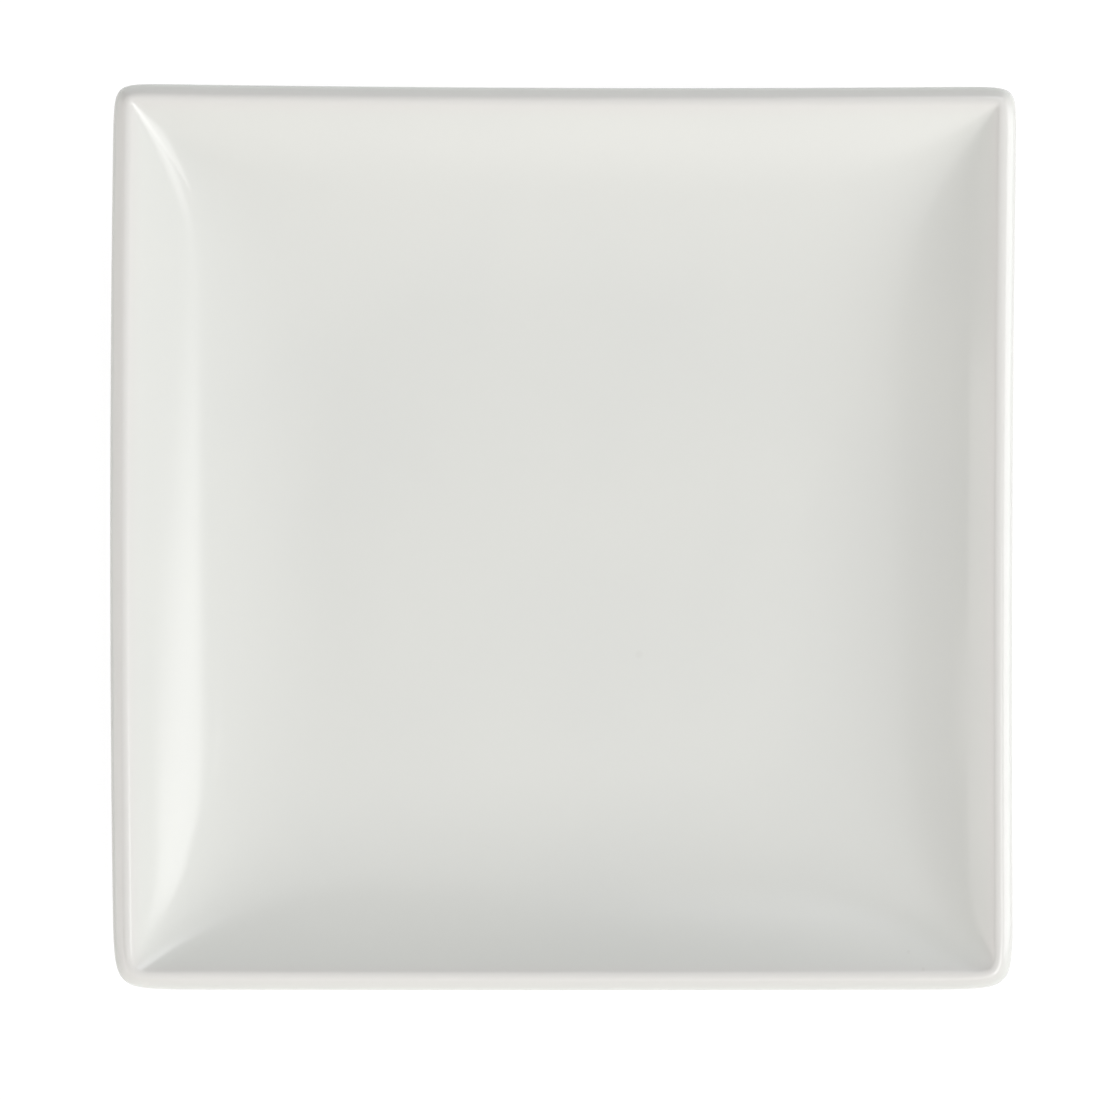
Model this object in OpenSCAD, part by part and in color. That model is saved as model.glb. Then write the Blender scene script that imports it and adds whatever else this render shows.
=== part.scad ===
// Square ceramic plate: a pressed body with an integral foot ring, a glaze over the face and outside,
// and a separate pool of glaze in the recess inside the foot ring.
// Millimetres, +Z up, origin under the middle of the plate on the plane that the foot ring stands on.
// The front of the plate is at -Y and its right side at +X.

/* [Plate] */
// Width and depth of the plate over the glaze
plate_side = 240; // [200:1:300]
// Height of the lip's crest above the table
plate_h = 25; // [20:0.5:32]
// Width of the flat floor of the well
well_side = 125; // [100:1:160]
// Thickness of the floor, glaze included; the wall thickens from it to the lip
base_t = 5.2; // [4:0.2:7]

/* [Lip and corners] */
// Distance from the plate's edge in to the lip's crest
lip_w = 4.1; // [3.4:0.1:5]
// Radius of the lip's crest in section
crest_r = 2.4; // [1.8:0.1:3]
// Slope of the lip's outer side
bevel = 40; // [30:1:50]
// Outer corner radius at the back of the plate
corner_back_r = 6; // [3:0.5:16]
// Outer corner radius at the front of the plate
corner_front_r = 9; // [3:0.5:16]
// Sharpest corner radius inside the lip
corner_tip_r = 1; // [0.6:0.1:3]
// Growth of the corner radius for each millimetre in from the lip, down the wall
corner_open = 0.67; // [0.3:0.01:0.8]

/* [Foot ring] */
// Width of the foot ring over its outside
foot_side = 150; // [120:1:190]
// Width of the ring
foot_w = 5; // [4:0.25:8]
// Height of the recess inside the ring
foot_h = 3; // [2.4:0.1:5]
// Outer corner radius of the ring
foot_corner_r = 18; // [9:0.5:40]
// Fillet where the ring meets the underside
foot_fillet_r = 1.2; // [0.5:0.1:1.6]
// Rounding of the ring's two bottom edges
foot_edge_r = 0.8; // [0.3:0.1:1]
// Height to which the ring is wiped bare of glaze
wipe_h = 1.1; // [0.9:0.05:1.6]

/* [Glaze] */
// Thickness of the glaze
glaze_t = 0.3; // [0.15:0.05:0.5]

/* [Firing warp] */
// Bow of the left side, outward when positive
bow_left = 1.0; // [-1.5:0.05:1.5]
// Bow of the right side, outward when positive
bow_right = -0.7; // [-1.5:0.05:1.5]
// Bow of the back side, outward when positive
bow_back = -0.8; // [-1.5:0.05:1.5]
// Bow of the front side, outward when positive
bow_front = 0.2; // [-1.5:0.05:1.5]
// Lean of the right side, outward at the back when positive
lean_right = 0.5; // [-1:0.05:1]
// Lean of the back side, outward on the right when positive
lean_back = -0.4; // [-1:0.05:1]

/* [Hidden] */

// Steps round a corner, along a side and over each stretch of the section
arc_steps = 4;
side_steps = 2;
fillet_steps = 2;
edge_steps = 2;
underside_steps = 5;
lip_steps = 3;
lip_inner_steps = 2;
wall_steps = 11;
// First step down the wall as a share of an even one, because the corners open out fastest there
first_wall_step = 0.4;
// Turn at which a corner's easing gives over to the side
eased_turn = 4;
// Largest corner radius down the wall, as a share of the ring's half width
widest_corner = 0.75;

// The wall is one arc, tangent to the floor at its border and to the lip's crest at its top
half = plate_side / 2;
floor_z = foot_h + base_t;
floor_inset = half - well_side / 2;
wall_rise = plate_h - crest_r - floor_z;
wall_run = floor_inset - lip_w;
wall_r = (wall_run * wall_run + wall_rise * wall_rise - crest_r * crest_r) / (2 * (plate_h - floor_z));
wall_end = asin(wall_run / (wall_r + crest_r));
wall_top_inset = floor_inset - wall_r * sin(wall_end);

// The lip goes round two circles, its crest and its edge, whose centres lie square to the wall
lip_span = (lip_w - crest_r) / (cos(bevel + wall_end) + sin(wall_end));
edge_r = lip_w - lip_span * sin(wall_end);
edge_z = plate_h - crest_r - lip_span * cos(wall_end);
lip_t = crest_r + lip_span + edge_r;

// The underside is an arc about the same centre, thickened up to the lip
foot_inset = half - foot_side / 2;
fillet_inset = foot_inset - foot_fillet_r;
under_r = wall_r + base_t;
under_start = asin(max(0, floor_inset - fillet_inset) / (under_r + foot_fillet_r));
fillet_z = floor_z + wall_r - (under_r + foot_fillet_r) * cos(under_start);
fillet_end_inset = fillet_inset + foot_fillet_r * sin(under_start);
under_top_inset = edge_r - edge_r * sin(wall_end);

function smooth(u) = u * u * (3 - 2 * u);
function between(a, b, u) = a + (b - a) * u;

// A station of the section holds its inset from the plate's edge, its height,
// the inward and upward parts of the surface normal, and the back and front corner radii
function station(inset, z, normal_in, normal_up, back_r, front_r) =
    [inset, z, normal_in, normal_up, back_r, front_r];

// Corner radii over the lip keep the lip's round the same all the way along
function lip_corner(outer_r, inset) = max(outer_r - inset, corner_tip_r);

// Corner radii down the wall open out evenly from the sharp tip, as far as the sides leave room
function wall_corner(outer_r, inset) =
    let (tip = lip_corner(outer_r, wall_top_inset))
    min(tip + corner_open * (inset - wall_top_inset), widest_corner * (half - inset));

// Corner radii under the wall run from the lip's to the foot ring's
function under_corner(outer_r, inset) =
    let (lip_end = outer_r - under_top_inset)
    let (foot_end = foot_corner_r + foot_inset - fillet_end_inset)
    between(lip_end, foot_end, (inset - under_top_inset) / (fillet_end_inset - under_top_inset));

// Outside of the foot ring from the wipe line up, and its fillet
foot_outside = [
    station(foot_inset, wipe_h, -1, 0, foot_corner_r, foot_corner_r),
    for (step = [0:fillet_steps])
        let (turn = between(90, under_start, step / fillet_steps))
        let (inset = fillet_inset + foot_fillet_r * sin(turn))
        let (corner = foot_corner_r + foot_inset - inset)
        station(inset, fillet_z + foot_fillet_r * cos(turn), -sin(turn), -cos(turn), corner, corner)
];

// Underside from the fillet out to the lip
underside = [
    for (step = [1:underside_steps - 1])
        let (u = step / underside_steps)
        let (turn = between(under_start, wall_end, u))
        let (r = wall_r + between(base_t, lip_t, smooth(u)))
        let (inset = floor_inset - r * sin(turn))
        station(inset, floor_z + wall_r - r * cos(turn), -sin(turn), -cos(turn),
            under_corner(corner_back_r, inset), under_corner(corner_front_r, inset))
];

// Lip from the underside round its edge, up its outer slope and over its crest to the wall
function lip_station(middle_inset, middle_z, r, turn) =
    let (inset = middle_inset + r * sin(turn))
    station(inset, middle_z + r * cos(turn), sin(turn), cos(turn),
        lip_corner(corner_back_r, inset), lip_corner(corner_front_r, inset));
edge_turns = [
    for (step = [0:lip_steps - 1]) between(wall_end - 180, -90, step / lip_steps),
    for (step = [0:lip_steps]) between(-90, -bevel, step / lip_steps)
];
crest_turns = [
    for (step = [0:lip_steps - 1]) between(-bevel, 0, step / lip_steps),
    for (step = [0:lip_inner_steps]) between(0, wall_end, step / lip_inner_steps)
];
lip = [
    for (turn = edge_turns) lip_station(edge_r, edge_z, edge_r, turn),
    for (turn = crest_turns) lip_station(lip_w, plate_h - crest_r, crest_r, turn)
];

// Wall from the lip down to the floor
wall = [
    for (step = [1:wall_steps])
        let (u = step / wall_steps)
        let (turn = wall_end * (1 - u * between(first_wall_step, 1, u)))
        let (inset = floor_inset - wall_r * sin(turn))
        station(inset, floor_z + wall_r * (1 - cos(turn)), sin(turn), cos(turn),
            wall_corner(corner_back_r, inset), wall_corner(corner_front_r, inset))
];

outside = concat(foot_outside, underside, lip, wall);

// Recess inside the foot ring, from its flat ceiling out and down to the wipe line
ring_inner_inset = foot_inset + foot_w;
recess = [
    for (step = [0:fillet_steps])
        let (turn = between(0, 90, step / fillet_steps))
        let (inset = ring_inner_inset + foot_fillet_r * (1 - sin(turn)))
        let (corner = foot_corner_r + foot_inset - inset)
        station(inset, foot_h - foot_fillet_r * (1 - cos(turn)), sin(turn), -cos(turn), corner, corner),
    let (corner = foot_corner_r - foot_w)
        station(ring_inner_inset, wipe_h, 1, 0, corner, corner)
];

// Bare bottom of the foot ring, from its inner edge to its outer edge, on the body's own surface
bare_inner_inset = ring_inner_inset - glaze_t;
bare_outer_inset = foot_inset + glaze_t;
bare_foot = [
    for (step = [0:edge_steps])
        let (turn = between(90, 0, step / edge_steps))
        let (inset = bare_inner_inset - foot_edge_r * (1 - sin(turn)))
        let (corner = foot_corner_r + foot_inset - inset)
        station(inset, foot_edge_r * (1 - cos(turn)), 0, 0, corner, corner),
    for (step = [0:edge_steps])
        let (turn = between(0, 90, step / edge_steps))
        let (inset = bare_outer_inset + foot_edge_r * (1 - sin(turn)))
        let (corner = foot_corner_r + foot_inset - inset)
        station(inset, foot_edge_r * (1 - cos(turn)), 0, 0, corner, corner)
];

// Inward shift of a side at t, its place along the side from -1 to 1, within the plate's overall size
function side_shift(bow, lean, t) = lean * t - abs(lean) - abs(bow) * (bow > 0 ? t * t : 1 - t * t);

function warp(p) =
    let (s = p.x / half)
    let (t = p.y / half)
    let (right = side_shift(bow_right, lean_right, t))
    let (left = side_shift(bow_left, 0, t))
    let (back = side_shift(bow_back, lean_back, s))
    let (front = side_shift(bow_front, 0, s))
    [p.x + (1 + s) / 2 * right - (1 - s) / 2 * left, p.y + (1 + t) / 2 * back - (1 - t) / 2 * front, p.z];

// Corners ease into their sides. With d and e the distances in from two neighbouring sides' lines,
// a corner lies where exp(-d / ease) + exp(-e / ease) is 1, which cuts the diagonal as an arc would.
function corner_ease(r) = r * (sqrt(2) - 1) / (sqrt(2) * ln(2));

// An eighth of a ring from the middle of its right side to the diagonal, with the turn of its normal
function eighth(reach, ease) =
    let (eased = ease * ln(1 + 1 / tan(eased_turn)))
    [
        for (step = [0:side_steps - 1])
            let (gap = between(reach, eased, step / side_steps))
            [reach + ease * ln(1 - exp(-gap / ease)), reach - gap, atan(1 / (exp(gap / ease) - 1))],
        for (step = [0:arc_steps])
            let (turn = between(eased_turn, 45, step / arc_steps))
            [reach - ease * ln(1 + tan(turn)), reach - ease * ln(1 + 1 / tan(turn)), turn]
    ];

// A quarter of a ring from the middle of its right side to the middle of its back
function quarter(reach, ease) =
    let (part = eighth(reach, ease))
    concat(part, [for (k = [len(part) - 2:-1:1]) [part[k].y, part[k].x, 90 - part[k].z]]);

// A closed ring of points at a station, sunk into the surface by a depth
function ring(at, sink) =
    let (push = sink * at[2])
    [
        for (corner = [0:3])
            for (q = quarter(half - at[0], corner_ease(corner < 2 ? at[4] : at[5])))
                let (x = q.x + push * cos(q.z))
                let (y = q.y + push * sin(q.z))
                let (c = cos(90 * corner))
                let (s = sin(90 * corner))
                warp([x * c - y * s, x * s + y * c, at[1] - sink * at[3]])
    ];

function rings(stations, sink) = [for (at = stations) ring(at, sink)];
function reversed(list) = [for (k = [len(list) - 1:-1:0]) list[k]];

// A closed solid through a stack of rings that starts facing down and ends facing up.
// Between the joint levels the rings run back over another solid's face, so their squares are split
// along the other diagonal, which makes the two faces the same.
module stack(levels, joint = [0, 0]) {
    count = len(levels[0]);
    points = [for (level = levels) for (p = level) p];
    sides = [
        for (level = [0:len(levels) - 2])
            for (k = [0:count - 1])
                let (a = level * count + k)
                let (b = level * count + (k + 1) % count)
                let (c = a + count)
                let (d = b + count)
                let (back = level >= joint[0] && level < joint[1])
                for (face = back ? [[a, c, b], [b, c, d]] : [[a, d, b], [a, c, d]])
                    face
    ];
    last = (len(levels) - 1) * count;
    bottom = [for (k = [0:count - 1]) k];
    top = [for (k = [count - 1:-1:0]) last + k];
    polyhedron(points, concat([bottom], sides, [top]), convexity = 6);
}

// Pressed body, bare on the bottom of its foot ring
module ceramic_body() {
    color([0.86, 0.84, 0.79])
        stack(concat(rings(recess, glaze_t), rings(bare_foot, 0), rings(outside, glaze_t)));
}

// Glaze over the face, the lip and the outside down to the wipe line
module outer_glaze() {
    color([0.88, 0.88, 0.86])
        stack(concat(reversed(rings(outside, glaze_t)), rings(outside, 0)), [0, len(outside) - 1]);
}

// Glaze in the recess under the plate
module base_glaze() {
    color([0.87, 0.87, 0.85])
        stack(concat(rings(recess, 0), reversed(rings(recess, glaze_t))), [len(recess), 2 * len(recess) - 1]);
}

ceramic_body();
outer_glaze();
base_glaze();
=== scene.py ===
"""A square white plate: its fired body and its two glazes, on a white table under soft studio light."""
import logging
import math
from dataclasses import dataclass
from enum import Enum
from functools import cached_property
from typing import Any, Union

import bpy
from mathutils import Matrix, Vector


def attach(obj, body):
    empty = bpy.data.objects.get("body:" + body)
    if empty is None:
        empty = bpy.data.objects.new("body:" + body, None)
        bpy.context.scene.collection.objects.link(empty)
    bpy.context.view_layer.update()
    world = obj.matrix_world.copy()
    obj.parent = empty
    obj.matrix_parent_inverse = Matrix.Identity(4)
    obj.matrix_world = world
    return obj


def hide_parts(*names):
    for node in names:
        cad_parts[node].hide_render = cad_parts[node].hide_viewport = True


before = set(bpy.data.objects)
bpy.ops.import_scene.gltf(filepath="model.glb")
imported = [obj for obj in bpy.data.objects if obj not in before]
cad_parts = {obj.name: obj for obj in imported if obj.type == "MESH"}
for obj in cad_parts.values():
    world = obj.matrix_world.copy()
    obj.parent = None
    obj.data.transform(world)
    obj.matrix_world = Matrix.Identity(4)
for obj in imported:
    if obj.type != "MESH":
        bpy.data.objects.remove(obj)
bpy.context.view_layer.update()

LOG = logging.getLogger("plate")
BODY = "root"
MM = 0.001

Colour = tuple[float, float, float, float]
Pair = tuple[float, float]
Point = tuple[float, float, float]
Ring = list[Point]


def between(start: float, end: float, share: float) -> float:
    """Returns the value a share of the way from start to end."""
    return start + (end - start) * share


def smooth(share: float) -> float:
    """Returns a share eased at both ends."""
    return share * share * (3 - 2 * share)


def soft_step(value: float) -> float:
    """Returns a value where it is above zero and nothing below, with a soft change between."""
    return max(value, 0.0) + math.log1p(math.exp(-abs(value)))


class Sum(Enum):
    """The sums that masks and heights are worked out with, by the names of Math operations."""

    ADD = "ADD"
    SUBTRACT = "SUBTRACT"
    MULTIPLY = "MULTIPLY"
    DIVIDE = "DIVIDE"
    LARGER = "MAXIMUM"


class Signal:
    """One output of a node, with Python arithmetic that adds Math nodes to its tree."""

    def __init__(self, bench: "NodeBench", socket: bpy.types.NodeSocket) -> None:
        """Keeps the bench that made the node, and the node's output."""
        self.bench = bench
        self.socket = socket

    def _math(self, kind: Sum, first: "Value", second: "Value") -> "Signal":
        """Returns the result of one Math node on two values."""
        return self.bench.node("ShaderNodeMath", {"operation": kind.value}, {0: first, 1: second})

    def __add__(self, other: "Value") -> "Signal":
        """Returns self + other."""
        return self._math(Sum.ADD, self, other)

    def __radd__(self, other: "Value") -> "Signal":
        """Returns other + self."""
        return self._math(Sum.ADD, other, self)

    def __sub__(self, other: "Value") -> "Signal":
        """Returns self - other."""
        return self._math(Sum.SUBTRACT, self, other)

    def __rsub__(self, other: "Value") -> "Signal":
        """Returns other - self."""
        return self._math(Sum.SUBTRACT, other, self)

    def __mul__(self, other: "Value") -> "Signal":
        """Returns self * other."""
        return self._math(Sum.MULTIPLY, self, other)

    def __rmul__(self, other: "Value") -> "Signal":
        """Returns other * self."""
        return self._math(Sum.MULTIPLY, other, self)

    def __truediv__(self, other: "Value") -> "Signal":
        """Returns self / other."""
        return self._math(Sum.DIVIDE, self, other)

    def __rtruediv__(self, other: "Value") -> "Signal":
        """Returns other / self."""
        return self._math(Sum.DIVIDE, other, self)

    def __or__(self, other: "Value") -> "Signal":
        """Returns the larger of two masks."""
        return self._math(Sum.LARGER, self, other)

    def __ror__(self, other: "Value") -> "Signal":
        """Returns the larger of two masks."""
        return self._math(Sum.LARGER, other, self)


Value = Union[Signal, float, tuple]


class NodeBench:
    """Lays out one node tree, emptied first."""

    MIX_FACTOR, MIX_FIRST, MIX_SECOND, MIX_RESULT = 0, 6, 7, 2

    def __init__(self, tree: bpy.types.NodeTree) -> None:
        """Empties a tree and keeps it."""
        self.tree = tree
        tree.nodes.clear()

    def node(
        self,
        kind: str,
        settings: dict[str, Any] | None = None,
        inputs: dict[str | int, Value] | None = None,
        out: str | int = 0,
    ) -> Signal:
        """Adds a node.

        Args:
            kind: The node's type.
            settings: Properties to set first.
            inputs: Values or links of its sockets, by name or number.
            out: The output to return.

        Returns:
            That output.
        """
        made = self.tree.nodes.new(kind)
        for name, value in (settings or {}).items():
            setattr(made, name, value)
        for key, value in (inputs or {}).items():
            if isinstance(value, Signal):
                self.tree.links.new(value.socket, made.inputs[key])
            else:
                made.inputs[key].default_value = value
        return Signal(self, made.outputs[out]) if made.outputs else Signal(self, made.inputs[0])

    def blend(self, share: Value, first: Value, second: Value) -> Signal:
        """Returns a mix of two colours."""
        inputs = {self.MIX_FACTOR: share, self.MIX_FIRST: first, self.MIX_SECOND: second}
        return self.node("ShaderNodeMix", {"data_type": "RGBA"}, inputs, self.MIX_RESULT)

    def ramp(self, value: Value, low: float, high: float) -> Signal:
        """Returns a mask that eases from 0 at low to 1 at high."""
        inputs = {"Value": value, "From Min": low, "From Max": high}
        return self.node("ShaderNodeMapRange", {"interpolation_type": "SMOOTHSTEP"}, inputs)

    def place(self) -> Signal:
        """Returns the point on the object, in metres."""
        return self.node("ShaderNodeTexCoord", out="Object")

    def height(self, place: Signal) -> Signal:
        """Returns the height of a point."""
        return self.node("ShaderNodeSeparateXYZ", None, {0: place}, "Z")

    def noise(self, place: Signal, grain: float, detail: float = 2.0) -> Signal:
        """Returns noise whose features are about grain metres across."""
        inputs = {"Vector": place, "Scale": 1 / grain, "Detail": detail}
        return self.node("ShaderNodeTexNoise", None, inputs, "Fac")

    def size(self, value: Signal) -> Signal:
        """Returns a value without its sign."""
        return self.node("ShaderNodeMath", {"operation": "ABSOLUTE"}, {0: value})

    def along(self, vector: Signal, direction: Vector) -> Signal:
        """Returns how far a vector reaches along a direction."""
        inputs = {0: vector, 1: tuple(direction)}
        return self.node("ShaderNodeVectorMath", {"operation": "DOT_PRODUCT"}, inputs, "Value")

    def tinted(self, tint: Point, amount: Signal, base: Signal) -> Signal:
        """Returns a base with an amount of a tint added."""
        inputs = {0: tint, 1: amount, 2: base}
        return self.node("ShaderNodeVectorMath", {"operation": "MULTIPLY_ADD"}, inputs)

    def distance(self, place: Signal, centre: Point) -> Signal:
        """Returns the distance of a point from a centre."""
        inputs = {0: place, 1: centre}
        return self.node("ShaderNodeVectorMath", {"operation": "DISTANCE"}, inputs, "Value")

    def surface(self, inputs: dict[str, Value]) -> None:
        """Ends a material's tree with one shader."""
        shader = self.node("ShaderNodeBsdfPrincipled", None, inputs)
        self.node("ShaderNodeOutputMaterial", None, {"Surface": shader})


def new_material(name: str) -> tuple[bpy.types.Material, NodeBench]:
    """Makes an empty material.

    Args:
        name: Name of the material.

    Returns:
        The material, and a bench for its node tree.
    """
    made = bpy.data.materials.new(name)
    made.use_nodes = True
    return made, NodeBench(made.node_tree)


@dataclass(frozen=True)
class Speck:
    """A dark fleck in the glaze, at a place seen from above.

    Attributes:
        x: Place to the right of the plate's middle.
        y: Place towards the back.
        radius: Size of the fleck.
        strength: How dark it is, from 0 to 1.
        CORE: Where it starts to fade, as a share of its radius.
        RIM: Where it has faded out, as a share of its radius.
    """

    x: float
    y: float
    radius: float
    strength: float

    CORE, RIM = 0.5, 1.6

    def mask(self, bench: NodeBench, place: Signal) -> Signal:
        """Works out where the fleck is, the same at any height.

        Args:
            bench: The bench of the glaze's node tree.
            place: The point on the plate.

        Returns:
            Its strength at the point, which fades out from its core to its rim.
        """
        inputs = {0: place, 1: (1, 1, 0)}
        flat = bench.node("ShaderNodeVectorMath", {"operation": "MULTIPLY"}, inputs)
        away = bench.distance(flat, (self.x, self.y, 0))
        return (1 - bench.ramp(away, self.CORE * self.radius, self.RIM * self.radius)) * self.strength


@dataclass(frozen=True)
class GlazeFinish:
    """Glossy off-white glaze, clouded a little, thin and warm over the lip.

    Attributes:
        name: Name of the material.
        tint: Colour of the glaze.
        cloud_tint: Colour where it lies thicker.
        thin_tint: Colour where it runs thin over the lip.
        fleck_tint: Colour of iron flecks.
        thin_span: Heights at which it starts to thin and is thinnest.
        thin_share: How much of the thin colour shows there.
        thin_rough: What thinness adds to the roughness.
        roughness: Roughness of the melted surface.
        ior: Refraction of the glaze.
        specks: Flecks that show.
        cloud_grain: Size of the clouds.
        cloud_span: Noise at which a cloud starts and is fullest.
        cloud_rough: What clouds add to the roughness.
        peel_grain: Size of the surface's ripple.
        peel_depth: Depth of the ripple.
        pinhole_cell: Distance between places for a pinhole.
        pinhole_r: Radius of the largest pinholes.
        pinhole_core: Core of a pinhole as a share of its radius.
        pinhole_share: Share of the places that stay empty.
        pinhole_strength: How dark the darkest pinhole is.
    """

    name: str
    tint: Colour = (0.757, 0.766, 0.730, 1.0)
    cloud_tint: Colour = (0.747, 0.757, 0.724, 1.0)
    thin_tint: Colour = (0.752, 0.735, 0.712, 1.0)
    fleck_tint: Colour = (0.36, 0.33, 0.27, 1.0)
    thin_span: Pair = (22.5 * MM, 25.0 * MM)
    thin_share: float = 0.6
    thin_rough: float = 0.02
    roughness: float = 0.06
    ior: float = 1.52
    specks: tuple[Speck, ...] = ()
    cloud_grain: float = 55 * MM
    cloud_span: Pair = (0.35, 0.7)
    cloud_rough: float = 0.03
    peel_grain: float = 4.5 * MM
    peel_depth: float = 0.004 * MM
    pinhole_cell: float = 21 * MM
    pinhole_r: float = 0.22 * MM
    pinhole_core: float = 0.4
    pinhole_share: float = 0.82
    pinhole_strength: float = 0.35

    PEEL_DETAIL = 1.0

    def material(self) -> bpy.types.Material:
        """Makes the glaze's material.

        Returns:
            The material.
        """
        made, bench = new_material(self.name)
        place = bench.place()
        cloud = bench.noise(place, self.cloud_grain)
        colour = bench.blend(bench.ramp(cloud, *self.cloud_span), self.tint, self.cloud_tint)
        thin = bench.ramp(bench.height(place), *self.thin_span)
        colour = bench.blend(thin * self.thin_share, colour, self.thin_tint)
        colour = bench.blend(self._flecks(bench, place), colour, self.fleck_tint)
        peel = bench.noise(place, self.peel_grain, self.PEEL_DETAIL)
        ripple = {"Height": peel, "Distance": self.peel_depth, "Strength": 1.0}
        bump = bench.node("ShaderNodeBump", None, ripple)
        gloss = self.roughness + cloud * self.cloud_rough + thin * self.thin_rough
        bench.surface({"Base Color": colour, "Roughness": gloss, "IOR": self.ior, "Normal": bump})
        return made

    def _flecks(self, bench: NodeBench, place: Signal) -> Signal:
        """Works out where the scattered pinholes and the flecks that show are.

        Args:
            bench: The bench of the glaze's node tree.
            place: The point on the plate.

        Returns:
            A mask of them all.
        """
        inputs = {"Vector": place, "Scale": 1 / self.pinhole_cell}
        near = bench.node("ShaderNodeTexVoronoi", None, inputs, "Distance")
        cell = bench.node("ShaderNodeTexVoronoi", None, inputs, "Color")
        chosen = bench.ramp(bench.node("ShaderNodeSeparateColor", None, {0: cell}), self.pinhole_share, 1.0)
        edge = self.pinhole_r / self.pinhole_cell
        mask = (1 - bench.ramp(near, self.pinhole_core * edge, edge)) * chosen * self.pinhole_strength
        for speck in self.specks:
            mask = mask | speck.mask(bench, place)
        return mask


@dataclass(frozen=True)
class BareBodyFinish:
    """Unglazed fired body: matte, warm and finely grained, rubbed grey where it stands.

    Attributes:
        name: Name of the material.
        tint: Colour of the fired body.
        grain_tint: Colour of its darker grains.
        scuff_tint: Colour of marks left by tables and other plates.
        grain: Size of the grains.
        grain_span: Noise at which a grain starts and is darkest.
        grain_share: How much of the grains' colour shows.
        grain_depth: Height of the grains.
        grain_strength: How sharply the grains stand out.
        roughness: Roughness of the fired body.
        ior: Refraction of the fired body.
        cloud_grain: Size of its rougher patches.
        cloud_rough: What a patch adds to the roughness.
        scuff_grain: Size of the marks.
        scuff_span: Noise at which a mark starts and is darkest.
        scuff_share: How much of the marks' colour shows.
        rubbed_height: Height up to which the foot is rubbed.
        rubbed_gloss: What rubbing takes off the roughness.
    """

    name: str
    tint: Colour = (0.63, 0.585, 0.50, 1.0)
    grain_tint: Colour = (0.50, 0.45, 0.37, 1.0)
    scuff_tint: Colour = (0.40, 0.38, 0.35, 1.0)
    grain: float = 0.5 * MM
    grain_span: Pair = (0.5, 0.72)
    grain_share: float = 0.7
    grain_depth: float = 0.05 * MM
    grain_strength: float = 0.6
    roughness: float = 0.86
    ior: float = 1.45
    cloud_grain: float = 14 * MM
    cloud_rough: float = 0.1
    scuff_grain: float = 6 * MM
    scuff_span: Pair = (0.52, 0.66)
    scuff_share: float = 0.6
    rubbed_height: float = 0.35 * MM
    rubbed_gloss: float = 0.22

    GRAIN_DETAIL, CLOUD_DETAIL, SCUFF_DETAIL = 4.0, 3.0, 5.0

    def material(self) -> bpy.types.Material:
        """Makes the bare body's material.

        Returns:
            The material.
        """
        made, bench = new_material(self.name)
        place = bench.place()
        grain = bench.noise(place, self.grain, self.GRAIN_DETAIL)
        cloud = bench.noise(place, self.cloud_grain, self.CLOUD_DETAIL)
        grains = bench.ramp(grain, *self.grain_span)
        colour = bench.blend(grains * self.grain_share, self.tint, self.grain_tint)
        rubbed = 1 - bench.ramp(bench.height(place), 0.0, self.rubbed_height)
        marks = bench.noise(place, self.scuff_grain, self.SCUFF_DETAIL)
        scuffs = bench.ramp(marks, *self.scuff_span) * rubbed
        colour = bench.blend(scuffs * self.scuff_share, colour, self.scuff_tint)
        rough = self.roughness + cloud * self.cloud_rough - rubbed * self.rubbed_gloss
        grit = {"Height": grain, "Distance": self.grain_depth, "Strength": self.grain_strength}
        bump = bench.node("ShaderNodeBump", None, grit)
        bench.surface({"Base Color": colour, "Roughness": rough, "IOR": self.ior, "Normal": bump})
        return made


@dataclass(frozen=True)
class Steps:
    """How closely the surfaces are divided.

    Attributes:
        corner: Steps round a corner.
        side: Steps along half of a side.
        fillet: Steps round a fillet or an edge.
        underside: Steps under the wall.
        lip: Steps over each quarter of the lip.
        wall: Steps down the wall.
        floor: Steps from the floor's border to its middle.
    """

    corner: int = 24
    side: int = 18
    fillet: int = 8
    underside: int = 24
    lip: int = 12
    wall: int = 60
    floor: int = 20


@dataclass(frozen=True)
class Station:
    """One point of the section and how the ring through it runs.

    Attributes:
        inset: Distance in from the plate's edge.
        z: Height.
        normal_in: Part of the surface normal that points to the plate's middle.
        normal_up: Part of the surface normal that points up.
        back_r: Corner radius at the back.
        front_r: Corner radius at the front.
        sink: Depth below the glaze's surface.
    """

    inset: float
    z: float
    normal_in: float
    normal_up: float
    back_r: float
    front_r: float
    sink: float = 0.0


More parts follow.
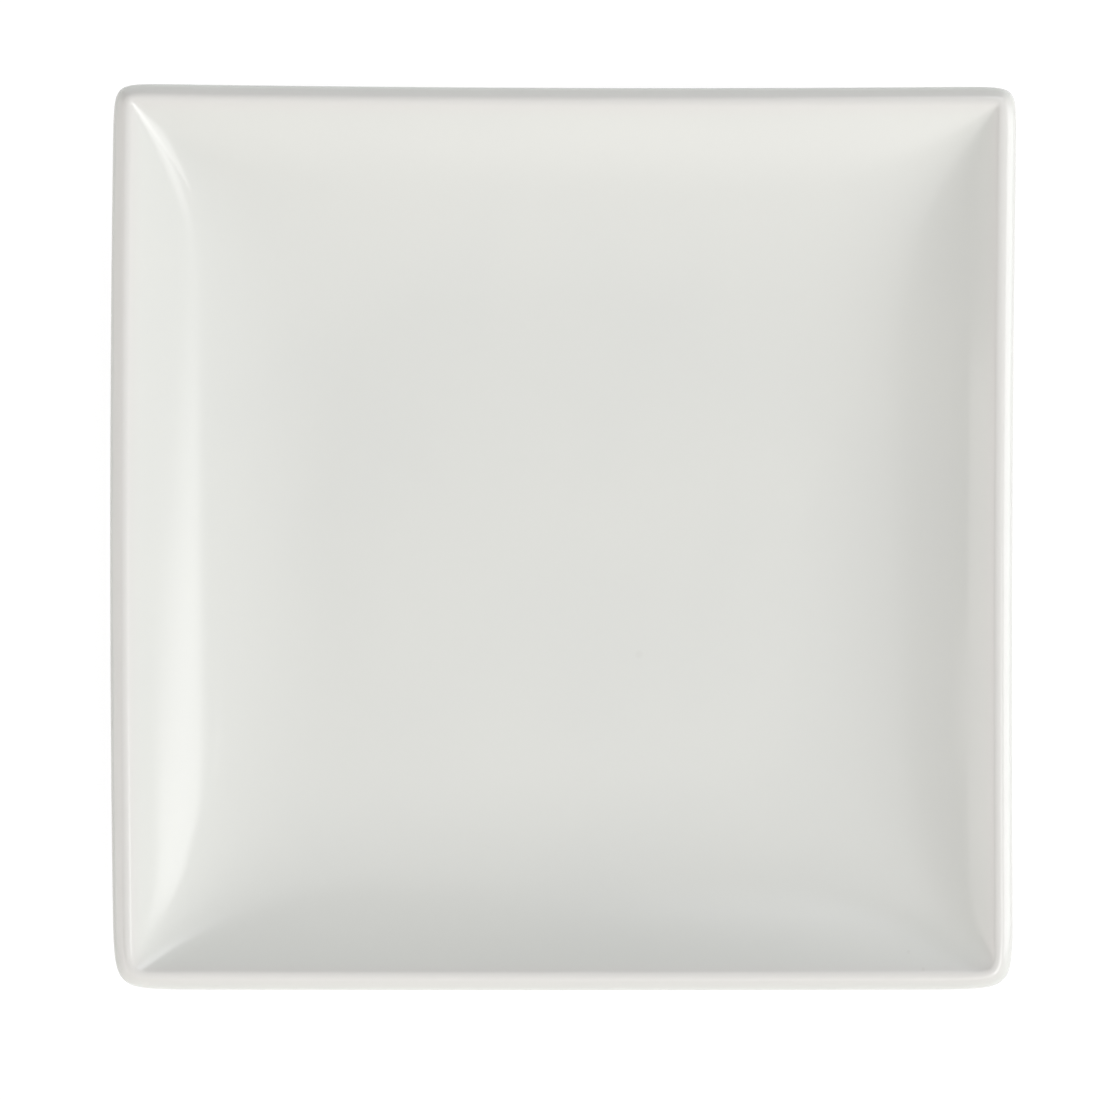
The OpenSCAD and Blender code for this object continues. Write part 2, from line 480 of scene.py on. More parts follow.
@dataclass(frozen=True)
class PlateSizes:
    """Driving sizes of the plate, the same as the construction's. Bows are outward when positive.

    Attributes:
        side: Width and depth over the glaze.
        height: Height of the lip's crest above the table.
        well_side: Width of the flat floor of the well.
        base_t: Thickness of the floor, glaze included.
        lip_w: Distance from the plate's edge in to the lip's crest.
        crest_r: Radius of the lip's crest in section.
        bevel: Slope of the lip's outer side, in degrees.
        corner_back_r: Outer corner radius at the back.
        corner_front_r: Outer corner radius at the front.
        corner_tip_r: Sharpest corner radius inside the lip.
        corner_open: Growth of the corner radius with the way in from the lip, down the wall.
        foot_side: Width of the foot ring over its outside.
        foot_w: Width of the ring.
        foot_h: Height of the recess inside the ring.
        foot_corner_r: Outer corner radius of the ring.
        foot_fillet_r: Fillet where the ring meets the underside.
        foot_edge_r: Rounding of the ring's two bottom edges.
        wipe_h: Height to which the ring is wiped bare of glaze.
        glaze_t: Thickness of the glaze.
        bow_left: Bow of the left side.
        bow_right: Bow of the right side.
        bow_back: Bow of the back side.
        bow_front: Bow of the front side.
        lean_right: Lean of the right side, outward at the back when positive.
        lean_back: Lean of the back side, outward on the right when positive.
    """

    side: float = 240 * MM
    height: float = 25 * MM
    well_side: float = 125 * MM
    base_t: float = 5.2 * MM
    lip_w: float = 4.1 * MM
    crest_r: float = 2.4 * MM
    bevel: float = 40.0
    corner_back_r: float = 6 * MM
    corner_front_r: float = 9 * MM
    corner_tip_r: float = 1 * MM
    corner_open: float = 0.67
    foot_side: float = 150 * MM
    foot_w: float = 5 * MM
    foot_h: float = 3 * MM
    foot_corner_r: float = 18 * MM
    foot_fillet_r: float = 1.2 * MM
    foot_edge_r: float = 0.8 * MM
    wipe_h: float = 1.1 * MM
    glaze_t: float = 0.3 * MM
    bow_left: float = 1.0 * MM
    bow_right: float = -0.7 * MM
    bow_back: float = -0.8 * MM
    bow_front: float = 0.2 * MM
    lean_right: float = 0.5 * MM
    lean_back: float = -0.4 * MM


class PlateForm:
    """The section and plan that the body and both glazes share.

    Attributes:
        FIRST_WALL_STEP: First step down the wall as a share of an even one.
        CORNER_EASE: Length over which a corner eases into its sides, as a share of its radius.
        EASED_TURN: Turn at which a corner's easing gives over to the side, in degrees.
        WIPE_SWAY: How far the wipe line wanders.
        WIPE_WAVES: Waves of the wipe line: how many go round the plate, where they start and their share.
        EDGE_ROLL: Height over which the glaze's edge rounds off.
    """

    FIRST_WALL_STEP = 0.4
    CORNER_EASE = (math.sqrt(2) - 1) / (math.sqrt(2) * math.log(2))
    EASED_TURN = 2.0
    WIPE_SWAY = 0.16 * MM
    WIPE_WAVES = ((3, 0.7, 1.0), (7, 2.1, 0.7), (16, 4.0, 0.5))
    EDGE_ROLL = 0.45 * MM

    def __init__(self, sizes: PlateSizes, steps: Steps = Steps()) -> None:
        """Keeps the sizes and how closely to divide the surfaces."""
        self.sizes = sizes
        self.steps = steps

    @cached_property
    def half(self) -> float:
        """Half of the plate's side."""
        return self.sizes.side / 2

    @cached_property
    def outer_corners(self) -> Pair:
        """Outer corner radii at the back and at the front."""
        return self.sizes.corner_back_r, self.sizes.corner_front_r

    @cached_property
    def floor_z(self) -> float:
        """Height of the floor of the well."""
        return self.sizes.foot_h + self.sizes.base_t

    @cached_property
    def floor_inset(self) -> float:
        """Inset of the floor's border."""
        return self.half - self.sizes.well_side / 2

    @cached_property
    def wall_r(self) -> float:
        """Radius of the wall's arc, tangent to the floor and to the lip's crest."""
        sizes = self.sizes
        rise = sizes.height - sizes.crest_r - self.floor_z
        run = self.floor_inset - sizes.lip_w
        return (run**2 + rise**2 - sizes.crest_r**2) / (2 * (sizes.height - self.floor_z))

    @cached_property
    def wall_end(self) -> float:
        """Slope of the wall where it meets the lip."""
        return math.asin((self.floor_inset - self.sizes.lip_w) / (self.wall_r + self.sizes.crest_r))

    @cached_property
    def wall_top_inset(self) -> float:
        """Inset of the line where the wall meets the lip."""
        return self.floor_inset - self.wall_r * math.sin(self.wall_end)

    @cached_property
    def bevel(self) -> float:
        """Slope of the lip's outer side."""
        return math.radians(self.sizes.bevel)

    @cached_property
    def lip_span(self) -> float:
        """Distance between the centres of the lip's crest and of its edge, square to the wall."""
        lean = math.cos(self.bevel + self.wall_end) + math.sin(self.wall_end)
        return (self.sizes.lip_w - self.sizes.crest_r) / lean

    @cached_property
    def edge_r(self) -> float:
        """Radius of the lip's edge, which the outer slope and the underside run into."""
        return self.sizes.lip_w - self.lip_span * math.sin(self.wall_end)

    @cached_property
    def edge_z(self) -> float:
        """Height of the plate's widest line."""
        return self.sizes.height - self.sizes.crest_r - self.lip_span * math.cos(self.wall_end)

    @cached_property
    def lip_t(self) -> float:
        """Thickness of the lip, square to the wall."""
        return self.sizes.crest_r + self.lip_span + self.edge_r

    @cached_property
    def foot_inset(self) -> float:
        """Inset of the foot ring's outside."""
        return self.half - self.sizes.foot_side / 2

    @cached_property
    def under_start(self) -> float:
        """Slope of the underside where the foot ring's fillet meets it."""
        reach = self.wall_r + self.sizes.base_t + self.sizes.foot_fillet_r
        run = self.floor_inset - self.foot_inset + self.sizes.foot_fillet_r
        return math.asin(max(0.0, run) / reach)

    def _lip_corner(self, outer_r: float, inset: float) -> float:
        """Returns a corner radius over the lip."""
        return max(outer_r - inset, self.sizes.corner_tip_r)

    def _wall_corner(self, outer_r: float, inset: float) -> float:
        """Returns a corner radius down the wall, which opens out from a sharp tip at the lip."""
        tip = self._lip_corner(outer_r, self.wall_top_inset)
        return tip + self.sizes.corner_open * (inset - self.wall_top_inset)

    def _foot_corner(self, inset: float) -> float:
        """Returns a corner radius on the foot ring."""
        return self.sizes.foot_corner_r + self.foot_inset - inset

    def _under_corner(self, outer_r: float, inset: float) -> float:
        """Works out a corner radius under the wall, from the lip's to the foot ring's.

        Args:
            outer_r: Outer corner radius.
            inset: Distance in from the plate's edge.

        Returns:
            The corner radius.
        """
        top = self.edge_r * (1 - math.sin(self.wall_end))
        end = self.foot_inset - self.sizes.foot_fillet_r * (1 - math.sin(self.under_start))
        return between(outer_r - top, self._foot_corner(end), (inset - top) / (end - top))

    def _station(self, inset: float, z: float, turn: float, corners: Pair) -> Station:
        """Returns a station whose normal leans in by the sine of a turn from upright."""
        return Station(inset, z, math.sin(turn), math.cos(turn), *corners)

    def foot_outside(self) -> list[Station]:
        """Goes up the foot ring's outside from the wipe line, and round its fillet.

        Returns:
            The stations, upward.
        """
        sizes = self.sizes
        reach = self.wall_r + sizes.base_t + sizes.foot_fillet_r
        fillet_z = self.floor_z + self.wall_r - reach * math.cos(self.under_start)
        corner = self._foot_corner(self.foot_inset)
        upright = -math.pi / 2
        found = [self._station(self.foot_inset, sizes.wipe_h, upright, (corner, corner))]
        for step in range(self.steps.fillet + 1):
            turn = between(math.pi / 2, self.under_start, step / self.steps.fillet)
            inset = self.foot_inset - sizes.foot_fillet_r * (1 - math.sin(turn))
            corner = self._foot_corner(inset)
            z = fillet_z + sizes.foot_fillet_r * math.cos(turn)
            found.append(self._station(inset, z, math.pi + turn, (corner, corner)))
        return found

    def underside(self) -> list[Station]:
        """Goes along the underside from the fillet out to the lip.

        Returns:
            The stations, outward.
        """
        sizes = self.sizes
        found = []
        for step in range(1, self.steps.underside):
            share = step / self.steps.underside
            turn = between(self.under_start, self.wall_end, share)
            r = self.wall_r + between(sizes.base_t, self.lip_t, smooth(share))
            inset = self.floor_inset - r * math.sin(turn)
            z = self.floor_z + self.wall_r - r * math.cos(turn)
            corners = tuple(self._under_corner(outer_r, inset) for outer_r in self.outer_corners)
            found.append(self._station(inset, z, math.pi + turn, corners))
        return found

    def lip(self) -> list[Station]:
        """Goes from the underside round the lip's edge, up its outer slope and over its crest.

        Returns:
            The stations, in that order.
        """
        sizes = self.sizes
        steps = self.steps.lip
        upright = -math.pi / 2
        edge_turns = [between(self.wall_end - math.pi, upright, k / steps) for k in range(steps)]
        edge_turns += [between(upright, -self.bevel, k / steps) for k in range(steps + 1)]
        crest_turns = [between(-self.bevel, 0.0, k / steps) for k in range(steps)]
        crest_turns += [between(0.0, self.wall_end, k / steps) for k in range(steps + 1)]
        crest_z = sizes.height - sizes.crest_r
        found = [self._lip_station(self.edge_r, self.edge_z, self.edge_r, turn) for turn in edge_turns]
        found += [self._lip_station(sizes.lip_w, crest_z, sizes.crest_r, turn) for turn in crest_turns]
        return found

    def _lip_station(self, middle_inset: float, middle_z: float, r: float, turn: float) -> Station:
        """Works out a station on one of the lip's two rounds.

        Args:
            middle_inset: Inset of the round's centre.
            middle_z: Height of its centre.
            r: Its radius.
            turn: Turn of the surface normal from upright, inward when positive.

        Returns:
            The station.
        """
        inset = middle_inset + r * math.sin(turn)
        corners = tuple(self._lip_corner(outer_r, inset) for outer_r in self.outer_corners)
        return self._station(inset, middle_z + r * math.cos(turn), turn, corners)

    def wall(self) -> list[Station]:
        """Goes down the wall from the lip to the floor's border.

        Returns:
            The stations, downward.
        """
        found = []
        for step in range(1, self.steps.wall + 1):
            share = step / self.steps.wall
            turn = self.wall_end * (1 - share * between(self.FIRST_WALL_STEP, 1, share))
            inset = self.floor_inset - self.wall_r * math.sin(turn)
            z = self.floor_z + self.wall_r * (1 - math.cos(turn))
            corners = tuple(self._wall_corner(outer_r, inset) for outer_r in self.outer_corners)
            found.append(self._station(inset, z, turn, corners))
        return found

    def floor(self) -> list[Station]:
        """Goes over the floor from its border to just short of its middle.

        Returns:
            The stations, inward.
        """
        border = self.wall()[-1]
        found = []
        for step in range(1, self.steps.floor):
            share = step / self.steps.floor
            inset = between(self.floor_inset, self.half, share)
            corners = (border.back_r * (1 - share), border.front_r * (1 - share))
            found.append(self._station(inset, self.floor_z, 0.0, corners))
        return found

    def outside(self) -> list[Station]:
        """Returns everything from the wipe line over the lip to the middle of the floor."""
        return self.foot_outside() + self.underside() + self.lip() + self.wall() + self.floor()

    def recess(self) -> list[Station]:
        """Goes over the recess in the foot ring, from its middle out and down to the wipe line.

        Returns:
            The stations, outward.
        """
        sizes = self.sizes
        ring_inset = self.foot_inset + sizes.foot_w
        ceiling_inset = ring_inset + sizes.foot_fillet_r
        ceiling_corner = self._foot_corner(ceiling_inset)
        found = []
        for step in range(1, self.steps.floor):
            share = step / self.steps.floor
            corner = ceiling_corner * share
            inset = between(self.half, ceiling_inset, share)
            found.append(self._station(inset, sizes.foot_h, math.pi, (corner, corner)))
        for step in range(self.steps.fillet + 1):
            turn = math.pi / 2 * step / self.steps.fillet
            inset = ceiling_inset - sizes.foot_fillet_r * math.sin(turn)
            corner = self._foot_corner(inset)
            z = sizes.foot_h - sizes.foot_fillet_r * (1 - math.cos(turn))
            found.append(self._station(inset, z, math.pi - turn, (corner, corner)))
        corner = self._foot_corner(ring_inset)
        found.append(self._station(ring_inset, sizes.wipe_h, math.pi / 2, (corner, corner)))
        return found

    def bare_foot(self) -> list[Station]:
        """Goes over the bare bottom of the foot ring, from its inner edge to its outer edge.

        Returns:
            The stations, outward.
        """
        sizes = self.sizes
        inner = self.foot_inset + sizes.foot_w - sizes.glaze_t
        outer = self.foot_inset + sizes.glaze_t
        quarter = [math.pi / 2 * step / self.steps.fillet for step in range(self.steps.fillet + 1)]
        found = []
        for edge, inward, turns in ((inner, -1, reversed(quarter)), (outer, 1, quarter)):
            for turn in turns:
                inset = edge + inward * sizes.foot_edge_r * (1 - math.sin(turn))
                corner = self._foot_corner(inset)
                z = sizes.foot_edge_r * (1 - math.cos(turn))
                found.append(self._station(inset, z, 0.0, (corner, corner)))
        return found

    def rolled_edge(self, wipe: Station) -> list[Station]:
        """Rounds the glaze's edge off, from the body's surface at the wipe line up.

        Args:
            wipe: The station at the wipe line.

        Returns:
            The stations, upward.
        """
        found = []
        for step in range(self.steps.fillet + 1):
            turn = math.pi / 2 * step / self.steps.fillet
            z = wipe.z + self.EDGE_ROLL * (1 - math.cos(turn))
            sink = self.sizes.glaze_t * (1 - math.sin(turn))
            found.append(Station(wipe.inset, z, wipe.normal_in, 0.0, wipe.back_r, wipe.front_r, sink))
        return found

    @staticmethod
    def _side_shift(bow: float, lean: float, along: float) -> float:
        """Returns how far a side lies in from the plate's overall size, at a place along it."""
        return lean * along - abs(lean) - abs(bow) * (along**2 if bow > 0 else 1 - along**2)

    def _warp(self, x: float, y: float) -> Pair:
        """Moves a place in plan to where the firing has bowed it.

        Args:
            x: Place to the right of the plate's middle.
            y: Place towards the back.

        Returns:
            The place after firing.
        """
        sizes = self.sizes
        s, t = x / self.half, y / self.half
        right = self._side_shift(sizes.bow_right, sizes.lean_right, t)
        left = self._side_shift(sizes.bow_left, 0.0, t)
        back = self._side_shift(sizes.bow_back, sizes.lean_back, s)
        front = self._side_shift(sizes.bow_front, 0.0, s)
        return (
            x + (1 + s) / 2 * right - (1 - s) / 2 * left,
            y + (1 + t) / 2 * back - (1 - t) / 2 * front,
        )

    def _sway(self, x: float, y: float, z: float) -> float:
        """Works out how far the hand-wiped glaze line wanders up or down, fading out above it.

        Args:
            x: Place to the right of the plate's middle.
            y: Place towards the back.
            z: Height.

        Returns:
            The rise at that place.
        """
        turn = math.atan2(y, x)
        wander = sum(share * math.sin(count * turn + start) for count, start, share in self.WIPE_WAVES)
        fade = max(0.0, 1 - abs(z - self.sizes.wipe_h) / (2 * self.EDGE_ROLL))
        return self.WIPE_SWAY * wander * fade

    def _corner_plan(self, reach: float, corner_r: float, push: float) -> list[Pair]:
        """Lays out a quarter of a ring, from the middle of its right side to the middle of its back.

        The corner eases into both sides, and cuts the diagonal as an arc of its radius would.

        Args:
            reach: Distance of the sides from the plate's middle.
            corner_r: Corner radius.
            push: Distance to move each point outward.

        Returns:
            The points in plan.
        """
        ease = corner_r * self.CORNER_EASE
        first = math.radians(self.EASED_TURN)
        last = math.pi / 2 - first
        eased = ease * math.log(1 + 1 / math.tan(first))
        gaps = [reach * (eased / reach) ** (k / self.steps.side) for k in range(self.steps.side)]
        right = [-gap / ease - math.log(-math.expm1(-gap / ease)) for gap in gaps]
        turns = [between(first, last, k / self.steps.corner) for k in range(self.steps.corner + 1)]
        round_corner = [math.log(math.tan(turn)) for turn in turns]
        back = [-lean for lean in reversed(right[1:])]
        found = []
        for lean in right + round_corner + back:
            in_x, in_y = soft_step(lean), soft_step(-lean)
            turn = math.atan2(math.exp(-in_y), math.exp(-in_x))
            x, y = reach - ease * in_x, reach - ease * in_y
            found.append((x + push * math.cos(turn), y + push * math.sin(turn)))
        return found

    def ring(self, station: Station, sink: float = 0.0, swaying: bool = False) -> Ring:
        """Lays out the closed ring of points through a station.

        Args:
            station: The point of the section.
            sink: Depth below the glaze's surface, besides the station's own.
            swaying: Whether the ring follows the wandering wipe line.

        Returns:
            The points, anticlockwise seen from above.
        """
        depth = sink + station.sink
        z = station.z - depth * station.normal_up
        reach = self.half - station.inset
        found = []
        for corner in range(4):
            corner_r = station.back_r if corner < 2 else station.front_r
            cos, sin = (1, 0, -1, 0)[corner], (0, 1, 0, -1)[corner]
            for u, v in self._corner_plan(reach, corner_r, depth * station.normal_in):
                x, y = u * cos - v * sin, u * sin + v * cos
                lift = self._sway(x, y, z) if swaying else 0.0
                found.append((*self._warp(x, y), z + lift))
        return found

    def rings(self, stations: list[Station], sink: float = 0.0, swaying: bool = False) -> list[Ring]:
        """Returns the ring through each station."""
        return [self.ring(station, sink, swaying) for station in stations]


def closed_mesh(name: str, levels: list[Ring]) -> bpy.types.Object:
    """Makes a closed mesh through a stack of rings, with a fan of triangles at each end.

    Args:
        name: Name of the object.
        levels: Rings of equal length, the first facing down and the last facing up.

    Returns:
        The object, linked to the scene and shaded smooth.
    """
    count = len(levels[0])
    points = [point for level in levels for point in level]
    faces: list[tuple[int, ...]] = []
    for level in range(len(levels) - 1):
        for k in range(count):
            a, b = level * count + k, level * count + (k + 1) % count
            faces.append((a, b, b + count, a + count))
    for level, turned in ((0, True), (len(levels) - 1, False)):
        ring = levels[level]
        middle = len(points)
        points.append(tuple(sum(p[axis] for p in ring) / count for axis in range(3)))
        for k in range(count):
            a, b = level * count + k, level * count + (k + 1) % count
            faces.append((middle, b, a) if turned else (middle, a, b))
    mesh = bpy.data.meshes.new(name)
    mesh.from_pydata(points, [], faces)
    mesh.shade_smooth()
    made = bpy.data.objects.new(name, mesh)
    bpy.context.scene.collection.objects.link(made)
    return made


@dataclass
class PlatePart:
    """One piece of the plate, which stands for one node of the construction.

    Attributes:
        sizes: Driving sizes of the plate.
        node: The node of the construction.
        slot: Name of its material slot, which is not used.
        finish: What its surface is made of.
    """

    sizes: PlateSizes
    node: str
    slot: str
    finish: GlazeFinish | BareBodyFinish

    def levels(self) -> list[Ring]:
        """Returns the rings that the piece is lofted through."""
        raise NotImplementedError

    def build(self) -> bpy.types.Object:
        """Makes the piece, in place of its node and riding on the plate.

        Returns:
            The piece.
        """
        piece = closed_mesh(f"{self.node}_piece", self.levels())
        piece.data.materials.append(self.finish.material())
        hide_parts(self.node)
        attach(piece, BODY)
        return piece


@dataclass
class CeramicBody(PlatePart):
    """The pressed body with its foot ring, bare only under the ring."""

    def levels(self) -> list[Ring]:
        """Stacks the rings from the recess round the foot ring and up over the lip.

        Returns:
            The rings, in that order.
        """
        form = PlateForm(self.sizes)
        depth = self.sizes.glaze_t
        bare = form.rings(form.bare_foot())
        return form.rings(form.recess(), depth) + bare + form.rings(form.outside(), depth)


@dataclass
class OuterGlaze(PlatePart):
    """The glaze over the face, the lip and the outside."""

    def levels(self) -> list[Ring]:
        """Stacks the rings under the glaze from the floor's middle out, and back over its surface.

        Returns:
            The rings, in that order.
        """
        form = PlateForm(self.sizes)
        stations = form.outside()
        edge = form.rolled_edge(stations[0])
        under = form.rings(stations[1:], self.sizes.glaze_t)
        return under[::-1] + form.rings(edge, 0.0, True) + form.rings(stations[1:])


@dataclass
class BaseGlaze(PlatePart):
    """The glaze in the recess under the plate."""

    def levels(self) -> list[Ring]:
        """Stacks the rings over the glaze's surface from its middle out, and back under it.

        Returns:
            The rings, in that order.
        """
        form = PlateForm(self.sizes)
        stations = form.recess()
        edge = form.rolled_edge(stations[-1])
        under = form.rings(stations[:-1], self.sizes.glaze_t)
        return form.rings(stations[:-1]) + form.rings(edge[::-1], 0.0, True) + under[::-1]


def towards(azimuth: float, elevation: float) -> Vector:
    """Returns the direction of a light as seen from the plate.

    Args:
        azimuth: Direction in plan, in degrees from the right towards the back.
        elevation: Height above the table, in degrees.

    Returns:
        A unit vector.
    """
    a, e = math.radians(azimuth), math.radians(elevation)
    return Vector((math.cos(a) * math.cos(e), math.sin(a) * math.cos(e), math.sin(e)))


@dataclass(frozen=True)
class Softbox:
    """A rectangular lamp that faces the plate.

    Attributes:
        name: Name of the lamp.
        azimuth: Direction in plan, in degrees from the right towards the back.
        elevation: Height above the table, in degrees.
        half_width: Half of its width, in degrees as seen from the plate.
        half_height: Half of its height, in degrees as seen from the plate.
        brightness: Brightness of its face, where 1 is white.
        away: Distance from the plate's middle.
    """

    name: str
    azimuth: float
    elevation: float
    half_width: float
    half_height: float
    brightness: float
    away: float = 16.0

    def build(self) -> None:
        """Hangs the lamp."""
        lamp = bpy.data.lights.new(self.name, "AREA")
        lamp.shape = "RECTANGLE"
        lamp.size = 2 * self.away * math.tan(math.radians(self.half_width))
        lamp.size_y = 2 * self.away * math.tan(math.radians(self.half_height))
        lamp.energy = self.brightness * math.pi * lamp.size * lamp.size_y
        made = bpy.data.objects.new(self.name, lamp)
        facing = towards(self.azimuth, self.elevation)
        made.location = facing * self.away
        made.rotation_euler = facing.to_track_quat("Z", "Y").to_euler()
        bpy.context.scene.collection.objects.link(made)


@dataclass(frozen=True)
class SoftArea:
    """An area of the surround that is brighter or darker than the rest and fades at its edge.

    Attributes:
        azimuth: Direction of its middle in plan, in degrees from the right towards the back.
        elevation: Height of its middle above the table, in degrees.
        half_width: Half of its width, in degrees as seen from the plate.
        half_height: Half of its height, in degrees as seen from the plate.
        fade: Width of its edge, in degrees.
        brightness: What it adds to the surround, where 1 is white.
        tint: Colour of what it adds.
        AHEAD: Cosine of the angle from its middle within which it shows in full.
    """

    azimuth: float
    elevation: float
    half_width: float
    half_height: float
    fade: float
    brightness: float
    tint: Point = (1.0, 1.0, 1.0)

    AHEAD = 0.1

    def _within(self, bench: NodeBench, offset: Signal, half_size: float) -> Signal:
        """Works out a mask that fades out round half of the area's width or height.

        Args:
            bench: The bench of the surround's node tree.
            offset: Tangent of the angle from the area's middle.
            half_size: Half of the width or height, in degrees.

        Returns:
            The mask.
        """
        inner = math.tan(math.radians(half_size - self.fade / 2))
        outer = math.tan(math.radians(half_size + self.fade / 2))
        return 1 - bench.ramp(bench.size(offset), inner, outer)

    def light(self, bench: NodeBench, ray: Signal) -> Signal:
        """Works out what the area adds to the surround.

        Args:
            bench: The bench of the surround's node tree.
            ray: Direction that is looked in.

        Returns:
            The added brightness in that direction.
        """
        facing = towards(self.azimuth, self.elevation)
        across = towards(self.azimuth + 90, 0)
        ahead = bench.along(ray, facing)
        sideways = bench.along(ray, across) / ahead
        upward = bench.along(ray, facing.cross(across)) / ahead
        wide = self._within(bench, sideways, self.half_width)
        high = self._within(bench, upward, self.half_height)
        return wide * high * bench.ramp(ahead, 0, self.AHEAD) * self.brightness


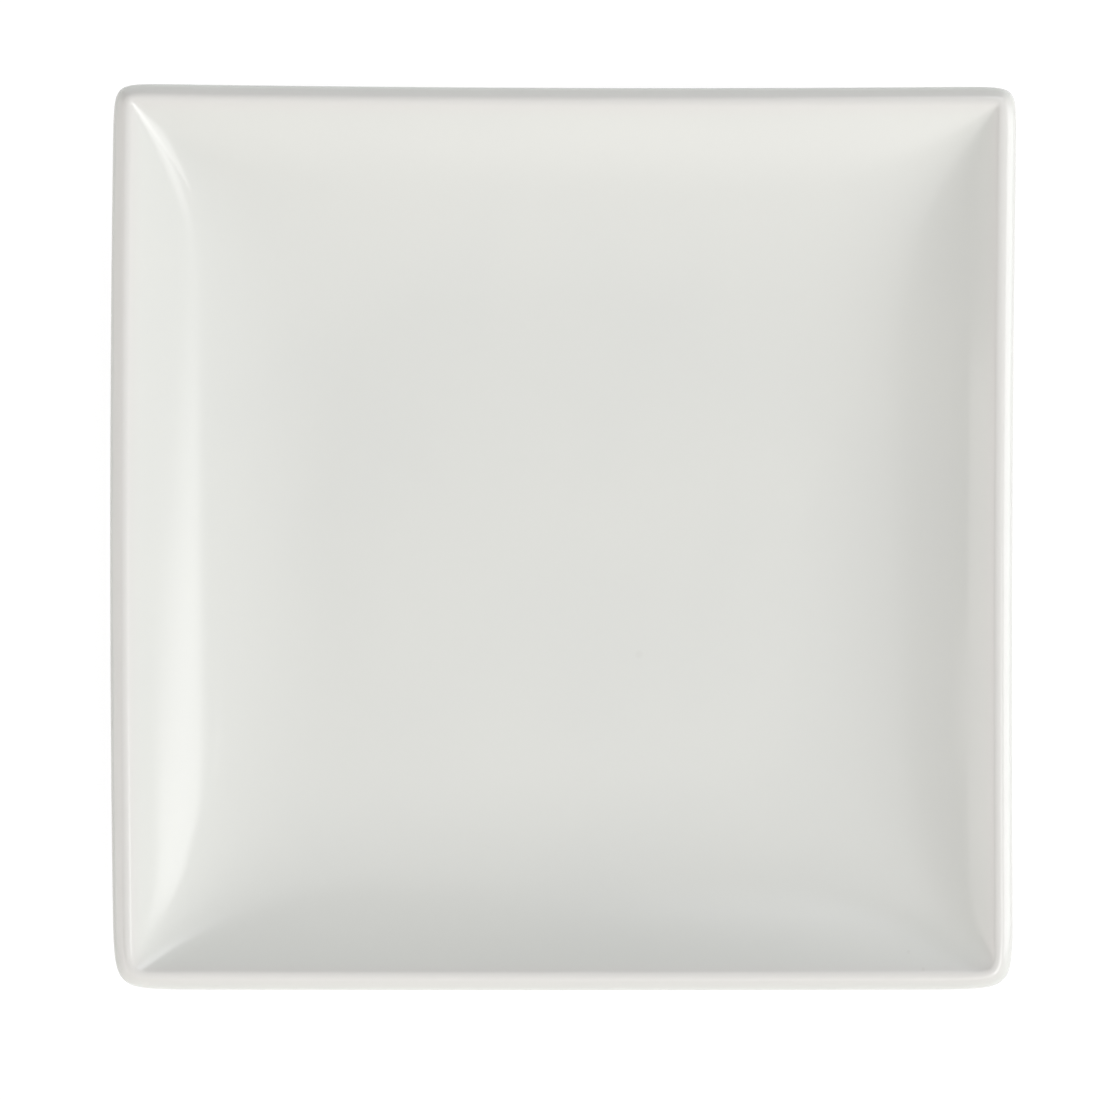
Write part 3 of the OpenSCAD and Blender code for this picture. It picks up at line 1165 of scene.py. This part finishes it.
@dataclass(frozen=True)
class Studio:
    """White table, a soft lamp, a graded surround and a camera straight above.

    Attributes:
        lamp: The lamp at the front right.
        fill: Brightness of the surround at the table's level.
        fill_rise: What the surround gains up to overhead.
        front_window: Bright area round the lamp.
        front_card: Broad glow at the front.
        left_card: Broad glow on the left, which the right wall shows.
        left_window: Bright middle of that glow.
        left_window_top: Raised part of that middle.
        right_card: Low glow on the right.
        back_card: Broad glow at the back.
        dark_back: Darker area at the back left.
        table_size: Width of the table.
        table_bounce: Colour of the table as it lights the plate.
        table_shade: How strongly the camera sees the plate's shadow.
        table_glow: Brightness of the table for the camera.
        camera_height: Height of the camera.
        camera_x: Place of the camera to the right of the plate's middle.
        camera_y: Place of the camera towards the back.
        frame_width: Width of the picture at the plate's widest line.
        widest_z: Height of that line.
        sensor: Width of the camera's sensor, in millimetres.
    """

    lamp: Softbox = Softbox("front_softbox", -34.5, 51.6, half_width=16.2, half_height=9.4, brightness=2.4)
    fill: float = 0.412
    fill_rise: float = 0.14
    front_window: SoftArea = SoftArea(-31.0, 46.0, 22.5, 8.4, fade=6.0, brightness=2.55)
    front_card: SoftArea = SoftArea(-52.0, 37.0, 30.5, 13.0, 25.0, brightness=1.5, tint=(1.0, 0.955, 0.935))
    left_card: SoftArea = SoftArea(191.5, 14.5, 31.0, 17.0, 23.0, brightness=2.1, tint=(1.0, 0.96, 0.945))
    left_window: SoftArea = SoftArea(180.8, 28.8, 3.7, 5.7, 0.9, brightness=1.1, tint=(1.0, 0.95, 0.93))
    left_window_top: SoftArea = SoftArea(182.4, 37.0, 0.9, 2.6, 0.8, brightness=1.0, tint=(1.0, 0.95, 0.93))
    right_card: SoftArea = SoftArea(0.0, 0.0, 10.0, 8.0, 12.0, brightness=3.0, tint=(0.98, 1.0, 1.03))
    back_card: SoftArea = SoftArea(66.0, 35.7, 13.5, 16.6, 14.0, brightness=2.75, tint=(0.97, 0.99, 1.03))
    dark_back: SoftArea = SoftArea(139.0, 23.6, 41.7, 37.6, fade=16.0, brightness=-1.0)
    table_size: float = 60.0
    table_bounce: Colour = (0.8, 0.8, 0.8, 1.0)
    table_shade: Colour = (0.15, 0.15, 0.15, 1.0)
    table_glow: float = 0.93
    camera_height: float = 1.2
    camera_x: float = -3.6 * MM
    camera_y: float = -3.5 * MM
    frame_width: float = 291.1 * MM
    widest_z: float = 20.9 * MM
    sensor: float = 36.0

    @property
    def areas(self) -> tuple[SoftArea, ...]:
        """Areas of the surround, in the order in which they are added."""
        front = (self.front_window, self.front_card)
        left = (self.left_card, self.left_window, self.left_window_top)
        return (*front, *left, self.right_card, self.back_card, self.dark_back)

    def build(self) -> None:
        """Sets up the table, the lamp, the surround and the camera."""
        self._table()
        self.lamp.build()
        self._surround()
        self._camera()
        bpy.context.scene.view_settings.view_transform = "Standard"

    @staticmethod
    def _seen(bench: NodeBench) -> Signal:
        """Returns 1 for rays that show the surround to the camera, straight or by reflection."""
        kinds = ("Is Camera Ray", "Is Glossy Ray", "Is Transmission Ray")
        straight, glossy, through = (bench.node("ShaderNodeLightPath", out=kind) for kind in kinds)
        return straight | glossy | through

    def _table(self) -> None:
        """Lays a white table that keeps the plate's shadow."""
        reach = self.table_size / 2
        mesh = bpy.data.meshes.new("table")
        corners = [(-reach, -reach, 0), (reach, -reach, 0), (reach, reach, 0), (-reach, reach, 0)]
        mesh.from_pydata(corners, [], [(0, 1, 2, 3)])
        made = bpy.data.objects.new("table", mesh)
        bpy.context.scene.collection.objects.link(made)
        material, bench = new_material("white_table")
        bounce = bench.node("ShaderNodeBsdfDiffuse", None, {"Color": self.table_bounce})
        shade = bench.node("ShaderNodeBsdfDiffuse", None, {"Color": self.table_shade})
        glow = bench.node("ShaderNodeEmission", None, {"Strength": self.table_glow})
        shown = bench.node("ShaderNodeAddShader", None, {0: shade, 1: glow})
        mixed = bench.node("ShaderNodeMixShader", None, {0: self._seen(bench), 1: bounce, 2: shown})
        bench.node("ShaderNodeOutputMaterial", None, {"Surface": mixed})
        mesh.materials.append(material)

    def _surround(self) -> None:
        """Surrounds the scene with soft light, brighter overhead, with its bright and dark areas."""
        world = bpy.data.worlds.new("surround")
        world.use_nodes = True
        bpy.context.scene.world = world
        bench = NodeBench(world.node_tree)
        ray = bench.node("ShaderNodeTexCoord", out="Generated")
        light = self.fill + bench.height(ray) * self.fill_rise
        for area in self.areas:
            light = bench.tinted(area.tint, area.light(bench, ray), light)
        light = bench.node("ShaderNodeVectorMath", {"operation": "MAXIMUM"}, {0: light, 1: (0, 0, 0)})
        glow = bench.node("ShaderNodeBackground", None, {"Color": light})
        bench.node("ShaderNodeOutputWorld", None, {"Surface": glow})

    def _camera(self) -> None:
        """Hangs the camera straight above, with the back of the plate at the top of the picture."""
        data = bpy.data.cameras.new("camera")
        data.sensor_width = self.sensor
        data.lens = self.sensor * (self.camera_height - self.widest_z) / self.frame_width
        made = bpy.data.objects.new("camera", data)
        made.location = (self.camera_x, self.camera_y, self.camera_height)
        bpy.context.scene.collection.objects.link(made)
        bpy.context.scene.camera = made


def main() -> None:
    """Builds the plate piece by piece, then its studio."""
    logging.basicConfig(level=logging.INFO, format="%(name)s: %(message)s")
    sizes = PlateSizes()
    flecks = (
        Speck(20.2 * MM, -31.4 * MM, radius=0.9 * MM, strength=0.055),
        Speck(91.2 * MM, -109.8 * MM, radius=0.4 * MM, strength=0.08),
        Speck(94.9 * MM, -114.1 * MM, radius=0.4 * MM, strength=0.09),
    )
    parts = (
        CeramicBody(sizes, "ceramic_body", "fired_body", BareBodyFinish("bare_fired_body")),
        OuterGlaze(sizes, "outer_glaze", "white_glaze", GlazeFinish("white_glaze", specks=flecks)),
        BaseGlaze(sizes, "base_glaze", "white_glaze", GlazeFinish("base_white_glaze", roughness=0.12)),
    )
    for part in parts:
        piece = part.build()
        LOG.info("%s: %d points, %d faces", piece.name, len(piece.data.vertices), len(piece.data.polygons))
    Studio().build()


if __name__ == "__main__":
    main()
